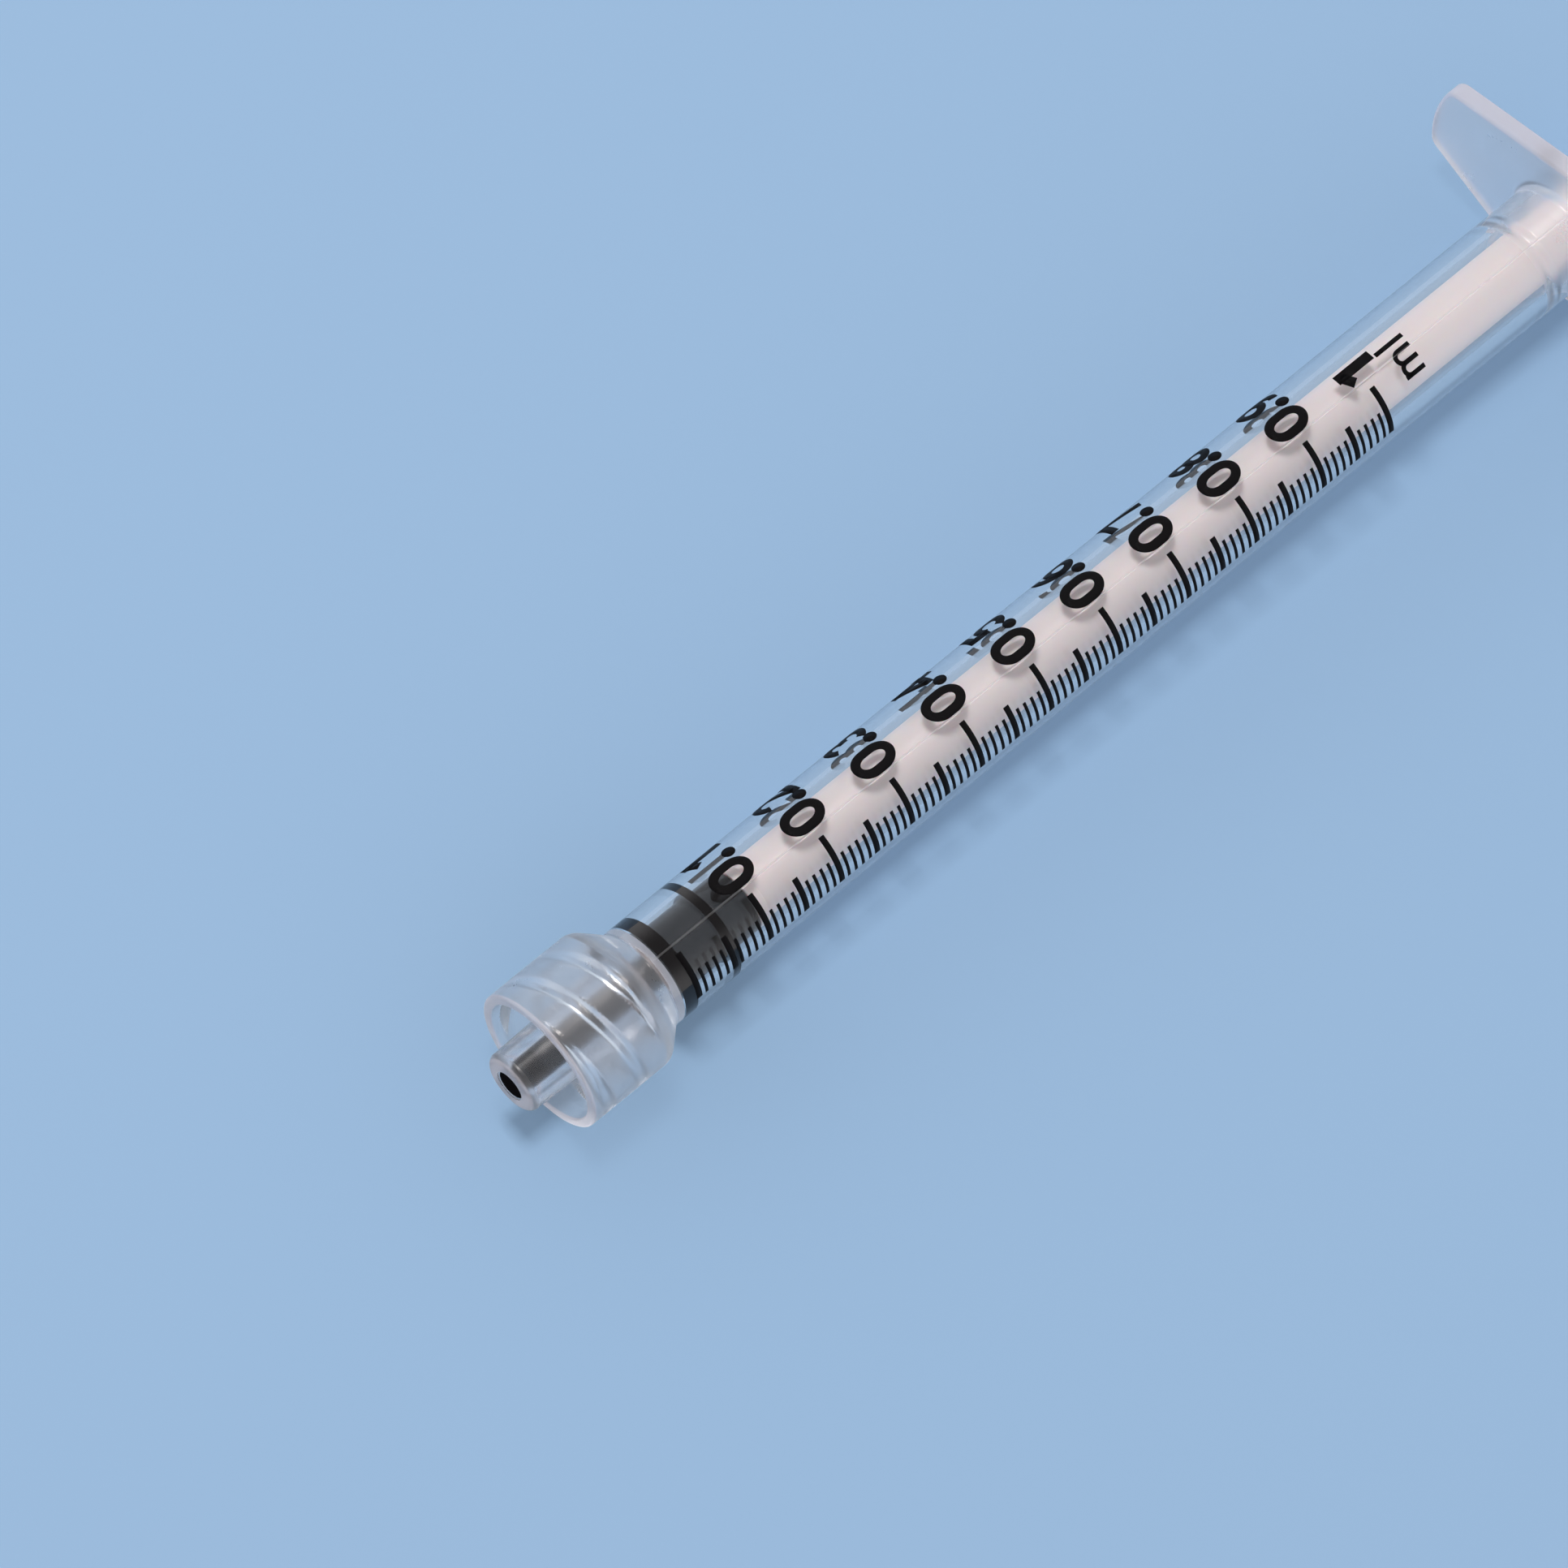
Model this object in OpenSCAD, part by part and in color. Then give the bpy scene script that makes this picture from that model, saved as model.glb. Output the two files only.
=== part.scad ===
// Luer lock syringe, 1 ml, low dead space, plunger pushed fully home.
// The X axis is the axis of the barrel, with the nozzle tip at the origin and the thumb rest at +X.
// The wings of the finger flange lie along Y, and the printed scale faces +Z.
// The barrel is one clear moulding: its nozzle, collar, tube and flange meet face to face.

/* [Luer nozzle] */
// Outside diameter of the tapered nozzle at its tip
nozzle_tip_d = 3.95; // [3.9:0.01:4.03]
// Growth in diameter for each millimetre of length, the 6 % luer taper
nozzle_taper_share = 0.06; // [0.04:0.01:0.08]
// Length of the nozzle from its tip to the floor of the collar
nozzle_l = 8.7; // [8.5:0.1:8.9]
// Rounding of the nozzle tip
nozzle_round = 0.5; // [0.2:0.05:0.7]
// Diameter of the fluid path at the tip
nozzle_bore_tip_d = 2; // [1.6:0.02:2.1]
// Diameter of the fluid path at the root, wider by the draft of its core pin
nozzle_bore_root_d = 2.2; // [2.1:0.02:2.4]

/* [Lock collar] */
// Inside diameter of the lock collar, at the root of its thread
collar_bore_d = 8; // [7.8:0.05:8.1]
// Wall of the lock collar
collar_wall = 0.65; // [0.5:0.05:0.9]
// Distance from the nozzle tip back to the rim of the collar
collar_setback = 2.2; // [2.1:0.1:2.5]
// Length of the shoulder cone in front of the nozzle's root
shoulder_lead = 0.4; // [0.35:0.05:0.8]
// Whole length of the shoulder cone, which joins the collar to the tube
shoulder_l = 1.55; // [1.4:0.05:2]
// Wall of the collar where it turns in along the shoulder
shoulder_wall = 0.7; // [0.65:0.05:0.85]
// Rounding where the collar turns into the shoulder
shoulder_round = 1; // [0.4:0.1:1]
// Outer rounding of the rim, as a share of the collar's wall
rim_round_share = 0.65; // [0.4:0.05:0.7]
// Inner rounding of the rim, as a share of the collar's wall
mouth_round_share = 0.23; // [0.1:0.01:0.28]

/* [Barrel tube] */
// Outside diameter of the tube at the finger flange
barrel_d = 6.71; // [6.5:0.01:7]
// Amount by which the tube is slimmer at the shoulder, the draft of its mould
barrel_draft = 0.12; // [0.02:0.01:0.2]
// Wall of the tube at the finger flange, which leaves a bore of 4.78 mm for the gasket
barrel_wall = 0.965; // [0.8:0.005:1.1]
// Thickness of the front wall between the collar and the bore
front_wall = 1.6; // [1.4:0.05:1.8]
// Diameter of the step in the front end of the bore
step_d = 3.2; // [2.8:0.1:3.6]
// Depth of the step
step_l = 0.2; // [0.1:0.05:0.4]
// Length of the steep cone between the step and the bore
bore_cone_l = 0.25; // [0.2:0.05:0.5]
// Length of the bore, from its steep cone to the finger flange
bore_l = 74.05; // [65:0.05:90]
// Hollow rounding between the shoulder and the tube
neck_round = 0.3; // [0.2:0.05:0.6]

/* [Retaining ridge] */
// Distance from the ridge back to the finger flange
ridge_setback = 3.8; // [2:0.1:6]
// Length of the ridge along the bore
ridge_w = 0.6; // [0.4:0.05:1]
// Height of the ridge above the bore
ridge_h = 0.11; // [0.05:0.01:0.2]
// Extra diameter of the bore behind the ridge
mouth_gain = 0.3; // [0.1:0.05:0.6]

/* [Finger flange] */
// Length of the flange over both wings
flange_l = 21.1; // [18:0.1:24]
// Height of the flange across the barrel
flange_h = 12; // [11:0.1:13.5]
// Thickness of the flange
flange_t = 1.23; // [1:0.01:1.6]
// Angle by which each long edge closes in towards the wing tip
flange_slope = 17.3; // [12:0.1:20]
// Rounding of the four corners of the wings, seen along the barrel
flange_corner = 1; // [0.6:0.1:1.5]
// Rounding of the edges of the plate
flange_edge = 0.25; // [0.1:0.01:0.4]
// Hollow rounding between the tube and the flange
boss_round = 0.5; // [0.2:0.05:0.8]

/* [Gasket] */
// Radial clearance of the sealing ribs in the bore
rib_clear = 0.02; // [0.01:0.005:0.05]
// Length of the front rib
front_rib_w = 1.07; // [0.8:0.01:1.3]
// Length of the rear rib
rear_rib_w = 0.7; // [0.5:0.01:1]
// Distance between the two ribs
rib_gap = 2.65; // [2:0.05:3.5]
// Length of the gasket behind the rear rib
gasket_tail_l = 2.2; // [1.9:0.05:3]
// Radial gap between the bore and the gasket's waist, between the ribs
waist_gap = 0.26; // [0.25:0.01:0.35]
// Radial gap between the bore and the gasket behind the rear rib
tail_gap = 0.32; // [0.25:0.01:0.4]
// Distance from the steep cone of the bore to the front rib
rib_lead = 0.05; // [0.05:0.01:0.3]
// Gap left between the front of the gasket and the front end of the bore
seat_gap = 0.1; // [0.05:0.01:0.15]
// Rounding of the edges of the ribs
rib_round = 0.12; // [0.05:0.01:0.2]
// Radial clearance of the nose in the fluid path
nose_clear = 0.04; // [0.02:0.01:0.1]
// Distance from the end of the nose to the nozzle tip
nose_setback = 0.06; // [0.05:0.01:1]
// Rounding of the end of the nose
nose_round = 0.15; // [0.05:0.01:0.3]

/* [Plunger rod] */
// Radial gap between the bore and the rod
rod_gap = 0.49; // [0.42:0.01:0.7]
// Radial gap between the bore and the disc that pushes the gasket
disc_gap = 0.34; // [0.25:0.01:0.4]
// Thickness of the disc
disc_t = 0.75; // [0.5:0.05:1]
// Width of the head that snaps into the gasket, as a share of the rod
head_share = 0.68; // [0.6:0.01:0.75]
// Length of the head
head_l = 1.7; // [1.4:0.1:2]
// Width of the neck behind the head, as a share of the head
neck_share = 0.62; // [0.5:0.01:0.7]
// Length of the neck
neck_l = 1.1; // [0.8:0.1:1.4]
// Clearance of the head and the disc in the gasket
socket_clear = 0.04; // [0.02:0.01:0.1]

/* [Thumb rest] */
// Gap between the flange and the thumb rest with the plunger home
thumb_gap = 8.5; // [6:0.5:14]
// Diameter of the thumb rest
thumb_d = 9.6; // [8:0.1:11]
// Thickness of the thumb rest
thumb_t = 1.5; // [1.1:0.1:2]
// Rounding of the rim of the thumb rest
thumb_round = 0.4; // [0.2:0.05:0.5]
// Length of the flare that joins the rod to the thumb rest
flare_l = 1.6; // [1:0.1:2.5]
// Radial growth of the flare up to the thumb rest
flare_rise = 0.8; // [0.4:0.1:1.3]
// Depth of the round dish in the pushed face
dish_h = 0.3; // [0.1:0.05:0.5]
// Width of the flat rim round the dish
dish_rim_w = 0.9; // [0.6:0.1:1.5]

/* [Hidden] */
$fn = 96;

// Steps in each quarter of a rounding
round_steps = 6;
// Layers that round the edges of the flange, and sides of the circles in its outline
edge_layers = 3;
outline_sides = 48;

nozzle_r = nozzle_tip_d / 2;
nozzle_root_r = nozzle_r + nozzle_taper_share * (nozzle_l - nozzle_round) / 2;
bore_tip_r = nozzle_bore_tip_d / 2;
bore_root_r = nozzle_bore_root_d / 2;

collar_bore_r = collar_bore_d / 2;
collar_r = collar_bore_r + collar_wall;
rim_round = collar_wall * rim_round_share;
mouth_round = collar_wall * mouth_round_share;
shoulder_x = nozzle_l - shoulder_lead;
barrel_r = barrel_d / 2;
barrel_front_r = barrel_r - barrel_draft / 2;
bore_r = barrel_r - barrel_wall;
shoulder_angle = atan((collar_r - barrel_front_r) / shoulder_l);
shoulder_end_x = shoulder_x + shoulder_l;

step_r = step_d / 2;
step_x = nozzle_l + front_wall;
cone_x = step_x + step_l;
bore_x = cone_x + bore_cone_l;
flange_x = bore_x + bore_l;
flange_back_x = flange_x + flange_t;
boss_x = flange_x - boss_round;
ridge_x = flange_x - ridge_setback;
ridge_r = bore_r - ridge_h;
mouth_r = bore_r + mouth_gain / 2;

// The front of the gasket follows the step and the steep cone in which the bore ends
gasket_x = step_x + seat_gap;
plug_r = step_r - seat_gap;
plug_end_x = cone_x + seat_gap;
nose_root_r = bore_root_r - nose_clear;
rib_r = bore_r - rib_clear;
waist_r = bore_r - waist_gap;
tail_r = bore_r - tail_gap;
front_rib_x = bore_x + rib_lead;
waist_x = front_rib_x + front_rib_w;
rear_rib_x = waist_x + rib_gap;
tail_x = rear_rib_x + rear_rib_w;
gasket_end_x = tail_x + gasket_tail_l;

rod_r = bore_r - rod_gap;
disc_r = bore_r - disc_gap;
head_r = rod_r * head_share;
neck_r = head_r * neck_share;
disc_x = gasket_end_x + socket_clear;
rod_x = disc_x + disc_t;
head_back_x = disc_x - neck_l;
head_x = head_back_x - head_l;
thumb_x = flange_back_x + thumb_gap;
thumb_back_x = thumb_x + thumb_t;
flare_x = thumb_x - flare_l;

// Turns a profile of [radius, place along the barrel] about the barrel's axis
module turned(points) {
    rotate([0, 90, 0]) rotate_extrude() polygon(points);
}

// Points of an arc about [centre_r, centre_x]: at 0 degrees it points outwards, at 90 towards +X
function arc_points(centre_r, centre_x, radius, from, to) = [
    for (i = [0:round_steps])
        let (angle = from + (to - from) * i / round_steps)
        [centre_r + radius * cos(angle), centre_x + radius * sin(angle)]
];

// Outside radius of the shoulder cone at a place along the barrel
function shoulder_r(x) = collar_r - (x - shoulder_x) * tan(shoulder_angle);

// Radius of the fluid path at a place along the nozzle
function path_r(x) = bore_tip_r + (bore_root_r - bore_tip_r) * x / nozzle_l;

// Tapered male nozzle with a rounded tip and the drafted fluid path through it
module luer_nozzle() {
    color([0.72, 0.76, 0.82, 0.55])
    turned(concat(
        [[bore_tip_r, 0]],
        arc_points(nozzle_r - nozzle_round, nozzle_round, nozzle_round, -90, 0),
        [[nozzle_root_r, nozzle_l], [bore_root_r, nozzle_l]]
    ));
}

// Skirt round the nozzle, which turns in along the shoulder to meet the front of the tube
module lock_collar() {
    turn_l = shoulder_round * tan(shoulder_angle / 2);
    wall_across = shoulder_wall / cos(shoulder_angle);
    floor_r = shoulder_r(nozzle_l) - wall_across;
    floor_x = shoulder_x + (collar_wall - wall_across) / tan(shoulder_angle);
    color([0.66, 0.7, 0.76, 0.55])
    turned(concat(
        arc_points(
            collar_bore_r + mouth_round, collar_setback + mouth_round,
            mouth_round, 180, 270
        ),
        arc_points(collar_r - rim_round, collar_setback + rim_round, rim_round, -90, 0),
        arc_points(
            collar_r - shoulder_round, shoulder_x - turn_l,
            shoulder_round, 0, shoulder_angle
        ),
        [[shoulder_r(nozzle_l), nozzle_l], [floor_r, nozzle_l], [collar_bore_r, floor_x]]
    ));
}

// Tube with the front wall, the stepped end of the bore and the ridge that keeps the plunger in
module barrel_tube() {
    turn_l = neck_round * tan(shoulder_angle / 2);
    color([0.74, 0.79, 0.86, 0.45])
    turned(concat(
        [[bore_root_r, nozzle_l], [shoulder_r(nozzle_l), nozzle_l]],
        arc_points(
            barrel_front_r + neck_round, shoulder_end_x + turn_l,
            neck_round, 180 + shoulder_angle, 180
        ),
        [[barrel_r, boss_x], [mouth_r, boss_x]],
        [
            [mouth_r, ridge_x + ridge_w],
            [ridge_r, ridge_x + ridge_w * 2 / 3],
            [ridge_r, ridge_x + ridge_w / 3],
            [bore_r, ridge_x]
        ],
        [[bore_r, bore_x], [step_r, cone_x], [step_r, step_x], [bore_root_r, step_x]]
    ));
}

// Outline of the flange drawn in by an inset, with the wings along Y:
// four straight edges on one circle, closed at each tip by a shallow arc with rounded corners
module flange_outline(inset) {
    root_r = flange_h / 2 - inset;
    tip_r = flange_l / 2 - inset;
    corner_r = flange_corner - inset;
    along = sqrt(pow(tip_r - corner_r, 2) - pow(root_r - corner_r, 2));
    edge = [sin(flange_slope), cos(flange_slope)];
    run = [cos(flange_slope), -sin(flange_slope)];
    corner = (root_r - corner_r) * edge + along * run;
    side = corner + corner_r * edge;
    tip = corner * tip_r / (tip_r - corner_r);
    circle(r = root_r);
    for (wing = [-1, 1]) {
        polygon([
            [-root_r * edge[1], wing * root_r * edge[0]],
            [-side[1], wing * side[0]],
            [-corner[1], wing * corner[0]],
            [corner[1], wing * corner[0]],
            [side[1], wing * side[0]],
            [root_r * edge[1], wing * root_r * edge[0]]
        ]);
        intersection() {
            circle(r = tip_r);
            polygon([
                [0, 0],
                [-2 * tip[1], wing * 2 * tip[0]],
                [2 * tip[1], wing * 2 * tip[0]]
            ]);
        }
        for (half = [-1, 1])
            translate([half * corner[1], wing * corner[0]]) circle(r = corner_r);
    }
}

// Plate with two wings and rounded edges, joined to the tube by a hollow rounding
module finger_flange() {
    overrun = flange_t;
    color([0.72, 0.76, 0.84, 0.55])
    difference() {
        union() {
            turned(concat(
                [[mouth_r, flange_x + flange_t / 2], [mouth_r, boss_x]],
                arc_points(barrel_r + boss_round, boss_x, boss_round, 180, 90),
                [[barrel_r + boss_round, flange_x + flange_t / 2]]
            ));
            hull()
            for (i = [0:edge_layers]) {
                angle = 90 * i / edge_layers;
                inset = flange_edge * (1 - sin(angle));
                depth = flange_edge * (1 - cos(angle));
                translate([flange_x + depth, 0, 0]) rotate([0, 90, 0])
                linear_extrude(flange_t - 2 * depth) flange_outline(inset, $fn = outline_sides);
            }
        }
        translate([flange_x - overrun, 0, 0]) rotate([0, 90, 0])
        cylinder(r = mouth_r, h = flange_t + 2 * overrun);
    }
}

// Rubber gasket: two sealing ribs, a stepped front and a nose that fills the nozzle
module gasket() {
    nose_end_r = path_r(nose_setback) - nose_clear;
    neck_hole_r = neck_r + socket_clear;
    head_hole_r = head_r + socket_clear;
    color([0.2, 0.19, 0.2])
    turned(concat(
        [[0, nose_setback]],
        arc_points(nose_end_r - nose_round, nose_setback + nose_round, nose_round, -90, 0),
        [[nose_root_r, nozzle_l], [nose_root_r, gasket_x], [plug_r, gasket_x]],
        [[plug_r, plug_end_x], [waist_r, front_rib_x]],
        arc_points(rib_r - rib_round, front_rib_x + rib_round, rib_round, -90, 0),
        arc_points(rib_r - rib_round, waist_x - rib_round, rib_round, 0, 90),
        [[waist_r, waist_x], [waist_r, rear_rib_x]],
        arc_points(rib_r - rib_round, rear_rib_x + rib_round, rib_round, -90, 0),
        arc_points(rib_r - rib_round, tail_x - rib_round, rib_round, 0, 90),
        [[tail_r, tail_x], [tail_r, gasket_end_x], [neck_hole_r, gasket_end_x]],
        [
            [neck_hole_r, head_back_x + socket_clear],
            [head_hole_r, head_back_x + socket_clear],
            [head_hole_r, head_x + head_l / 2 - socket_clear],
            [neck_hole_r, head_x - socket_clear],
            [0, head_x - socket_clear]
        ]
    ));
}

// Rod with the snap head, its neck and the disc that bears on the gasket
module plunger_rod() {
    color([0.83, 0.8, 0.8])
    turned([
        [0, head_x], [neck_r, head_x],
        [head_r, head_x + head_l / 2], [head_r, head_back_x],
        [neck_r, head_back_x], [neck_r, disc_x],
        [disc_r, disc_x], [disc_r, rod_x],
        [rod_r, rod_x], [rod_r, flare_x],
        [rod_r + flare_rise, thumb_x], [0, thumb_x]
    ]);
}

// Round plate with a shallow dish for the thumb
module thumb_rest() {
    thumb_r = thumb_d / 2;
    dish_r = thumb_r - dish_rim_w;
    color([0.83, 0.8, 0.8])
    turned(concat(
        [[0, thumb_x]],
        arc_points(thumb_r - thumb_round, thumb_x + thumb_round, thumb_round, -90, 0),
        arc_points(thumb_r - thumb_round, thumb_back_x - thumb_round, thumb_round, 0, 90),
        [[dish_r, thumb_back_x], [dish_r - dish_h, thumb_back_x - dish_h], [0, thumb_back_x - dish_h]]
    ));
}

luer_nozzle();
lock_collar();
barrel_tube();
finger_flange();
gasket();
plunger_rod();
thumb_rest();
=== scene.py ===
import math

import bmesh
import bpy
from mathutils import Matrix, Vector


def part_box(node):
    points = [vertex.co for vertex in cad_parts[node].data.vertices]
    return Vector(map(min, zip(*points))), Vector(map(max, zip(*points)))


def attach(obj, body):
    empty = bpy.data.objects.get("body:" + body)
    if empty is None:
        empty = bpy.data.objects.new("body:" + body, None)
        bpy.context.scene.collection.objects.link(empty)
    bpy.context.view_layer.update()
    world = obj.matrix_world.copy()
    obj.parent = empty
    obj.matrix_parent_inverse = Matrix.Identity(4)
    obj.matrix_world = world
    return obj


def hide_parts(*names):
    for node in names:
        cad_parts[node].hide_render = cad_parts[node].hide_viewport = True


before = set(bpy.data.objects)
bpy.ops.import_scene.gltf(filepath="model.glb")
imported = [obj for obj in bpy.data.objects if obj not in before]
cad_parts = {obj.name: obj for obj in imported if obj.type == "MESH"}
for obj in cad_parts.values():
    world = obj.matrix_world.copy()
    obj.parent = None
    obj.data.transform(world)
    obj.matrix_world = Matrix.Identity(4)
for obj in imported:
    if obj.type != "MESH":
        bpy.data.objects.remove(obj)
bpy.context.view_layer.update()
mm = 0.001
print("frame loaded:", ", ".join(sorted(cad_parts)))

# Places along the barrel, in millimetres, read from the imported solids
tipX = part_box("luer_nozzle")[0].x / mm
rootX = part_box("luer_nozzle")[1].x / mm
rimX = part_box("lock_collar")[0].x / mm
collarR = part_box("lock_collar")[1].z / mm
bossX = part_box("finger_flange")[0].x / mm
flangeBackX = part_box("finger_flange")[1].x / mm
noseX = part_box("gasket")[0].x / mm
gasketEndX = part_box("gasket")[1].x / mm
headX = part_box("plunger_rod")[0].x / mm
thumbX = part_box("thumb_rest")[0].x / mm
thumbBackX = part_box("thumb_rest")[1].x / mm
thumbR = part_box("thumb_rest")[1].z / mm


# Shared mesh tools. A profile is a list of (x, radius) in millimetres,
# and an angle runs from +Z towards -Y, the way the thread climbs

def onBarrel(x, radius, angle):
    return Vector((x, -radius * math.sin(angle), radius * math.cos(angle))) * mm


def arcPoints(x, radius, size, start, end, steps=8):
    # at 0 degrees the arc points outwards, at 90 towards +X
    points = []
    for i in range(steps + 1):
        angle = math.radians(start + (end - start) * i / steps)
        points.append((x + size * math.sin(angle), radius + size * math.cos(angle)))
    return points


def smoothStep(value, low, high):
    share = min(max((value - low) / (high - low), 0.0), 1.0)
    return share * share * (3 - 2 * share)


def turnedPiece(name, profile, steps, loop, sharpAngle=24):
    # a radius may be a number or a function of the angle, and a radius of 0 is one point
    builder = bmesh.new()
    rings = []
    for x, radius in profile:
        if radius == 0:
            rings.append([builder.verts.new(onBarrel(x, 0, 0))])
            continue
        ring = []
        for i in range(steps):
            angle = 2 * math.pi * i / steps
            reach = radius(angle) if callable(radius) else radius
            ring.append(builder.verts.new(onBarrel(x, reach, angle)))
        rings.append(ring)
    pairs = list(zip(rings, rings[1:]))
    if loop:
        pairs.append((rings[-1], rings[0]))
    for ringA, ringB in pairs:
        for i in range(steps):
            j = (i + 1) % steps
            corners = [
                ringA[i % len(ringA)], ringA[j % len(ringA)],
                ringB[j % len(ringB)], ringB[i % len(ringB)],
            ]
            corners = list(dict.fromkeys(corners))
            if len(corners) > 2:
                builder.faces.new(corners)
    bmesh.ops.recalc_face_normals(builder, faces=builder.faces)
    piece = finishedPiece(name, builder, sharpAngle)
    weighted = piece.modifiers.new("evenShading", "WEIGHTED_NORMAL")
    weighted.keep_sharp = True
    return piece


def finishedPiece(name, builder, sharpAngle=40):
    mesh = bpy.data.meshes.new(name)
    builder.to_mesh(mesh)
    builder.free()
    mesh.shade_smooth()
    mesh.set_sharp_from_angle(angle=math.radians(sharpAngle))
    piece = bpy.data.objects.new(name, mesh)
    bpy.context.scene.collection.objects.link(piece)
    return piece


# Camera at the photograph's viewing angle

cameraSetup = {
    "place": (-0.16433, -0.11391, 0.48230),
    "target": (0.02466, 0.00358, 0.0),
    "roll": 16.56,
    "lens": 212.5,
    "sensor": 36.0,
    "clipStart": 0.01,
}


def addCamera(setup):
    data = bpy.data.cameras.new("photoCamera")
    data.lens = setup["lens"]
    data.sensor_width = setup["sensor"]
    data.clip_start = setup["clipStart"]
    camera = bpy.data.objects.new("photoCamera", data)
    place = Vector(setup["place"])
    look = (Vector(setup["target"]) - place).to_track_quat("-Z", "Y").to_matrix()
    turn = look @ Matrix.Rotation(math.radians(setup["roll"]), 3, "Z")
    camera.matrix_world = Matrix.Translation(place) @ turn.to_4x4()
    bpy.context.scene.collection.objects.link(camera)
    bpy.context.scene.camera = camera


addCamera(cameraSetup)
print("camera placed")


# Materials

surfaceMix = {
    "waveDetail": 2.0,
    "grainDetail": 4.0,
    "grainShare": 0.35,
    "lowest": 0.35,
    "highest": 1.0,
}


def buildMouldSurface(mix):
    # faint unevenness of a moulded surface: a slow wave, a fine grain and a mask of both
    group = bpy.data.node_groups.new("mouldSurface", "ShaderNodeTree")
    sockets = {"INPUT": ("Wave Size", "Grain Size", "Low", "High"), "OUTPUT": ("Level", "Height")}
    for side, names in sockets.items():
        for name in names:
            group.interface.new_socket(name=name, in_out=side, socket_type="NodeSocketFloat")
    nodes = group.nodes
    links = group.links
    start = nodes.new("NodeGroupInput")
    end = nodes.new("NodeGroupOutput")
    place = nodes.new("ShaderNodeTexCoord")
    wave = nodes.new("ShaderNodeTexNoise")
    wave.inputs["Detail"].default_value = mix["waveDetail"]
    grain = nodes.new("ShaderNodeTexNoise")
    grain.inputs["Detail"].default_value = mix["grainDetail"]
    both = nodes.new("ShaderNodeMath")
    both.operation = "MULTIPLY_ADD"
    both.inputs[1].default_value = mix["grainShare"]
    spread = nodes.new("ShaderNodeMapRange")
    spread.inputs["From Min"].default_value = mix["lowest"]
    spread.inputs["From Max"].default_value = mix["highest"]
    for noise, size in ((wave, "Wave Size"), (grain, "Grain Size")):
        links.new(place.outputs["Object"], noise.inputs["Vector"])
        links.new(start.outputs[size], noise.inputs["Scale"])
    links.new(grain.outputs["Fac"], both.inputs[0])
    links.new(wave.outputs["Fac"], both.inputs[2])
    links.new(both.outputs[0], spread.inputs["Value"])
    links.new(start.outputs["Low"], spread.inputs["To Min"])
    links.new(start.outputs["High"], spread.inputs["To Max"])
    links.new(spread.outputs["Result"], end.inputs["Level"])
    links.new(both.outputs[0], end.inputs["Height"])
    return group


mouldSurface = buildMouldSurface(surfaceMix)


def baseMaterial(name, look):
    # Principled shader with the mould's roughness and bump, and the look's plain values
    material = bpy.data.materials.new(name)
    material.use_nodes = True
    nodes = material.node_tree.nodes
    links = material.node_tree.links
    shader = nodes["Principled BSDF"]
    surface = nodes.new("ShaderNodeGroup")
    surface.node_tree = mouldSurface
    surface.inputs["Wave Size"].default_value = look["waveSize"]
    surface.inputs["Grain Size"].default_value = look["grainSize"]
    surface.inputs["Low"].default_value = look["roughness"][0]
    surface.inputs["High"].default_value = look["roughness"][1]
    bump = nodes.new("ShaderNodeBump")
    bump.inputs["Strength"].default_value = look["bump"]
    bump.inputs["Distance"].default_value = look["bumpDepth"] * mm
    links.new(surface.outputs["Level"], shader.inputs["Roughness"])
    links.new(surface.outputs["Height"], bump.inputs["Height"])
    links.new(bump.outputs["Normal"], shader.inputs["Normal"])
    shader.inputs["Base Color"].default_value = (*look["colour"], 1.0)
    for socket, value in look["values"].items():
        shader.inputs[socket].default_value = value
    return material, shader


def clearMaterial(name, look):
    # clear plastic that lets lamps through to the pieces inside it
    material, shader = baseMaterial(name, look)
    nodes = material.node_tree.nodes
    links = material.node_tree.links
    through = nodes.new("ShaderNodeBsdfTransparent")
    through.inputs["Color"].default_value = (*look["shadowTint"], 1.0)
    path = nodes.new("ShaderNodeLightPath")
    before = shader.outputs["BSDF"]
    for ray in ("Is Diffuse Ray", "Is Shadow Ray"):
        mix = nodes.new("ShaderNodeMixShader")
        links.new(path.outputs[ray], mix.inputs["Fac"])
        links.new(before, mix.inputs[1])
        links.new(through.outputs["BSDF"], mix.inputs[2])
        before = mix.outputs["Shader"]
    links.new(before, nodes["Material Output"].inputs["Surface"])
    return material


clearLook = {
    "colour": (0.97, 0.935, 0.91),
    "waveSize": 180.0,
    "grainSize": 2500.0,
    "roughness": (0.02, 0.06),
    "bump": 0.12,
    "bumpDepth": 0.01,
    "shadowTint": (0.95, 0.95, 0.95),
    "values": {"IOR": 1.49, "Transmission Weight": 1.0},
}
hazyLook = {
    "colour": (0.96, 0.93, 0.925),
    "waveSize": 400.0,
    "grainSize": 4000.0,
    "roughness": (0.26, 0.34),
    "bump": 0.08,
    "bumpDepth": 0.01,
    "shadowTint": (0.92, 0.92, 0.92),
    "values": {"IOR": 1.49, "Transmission Weight": 0.965, "Sheen Weight": 0.15},
}
# the nozzle is smoother than the collar, so the rubber nose in it stays sharp
satinLook = {
    "colour": (0.97, 0.935, 0.93),
    "waveSize": 300.0,
    "grainSize": 4000.0,
    "roughness": (0.14, 0.19),
    "bump": 0.08,
    "bumpDepth": 0.01,
    "shadowTint": (0.94, 0.94, 0.94),
    "values": {"IOR": 1.49, "Transmission Weight": 0.985},
}
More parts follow.
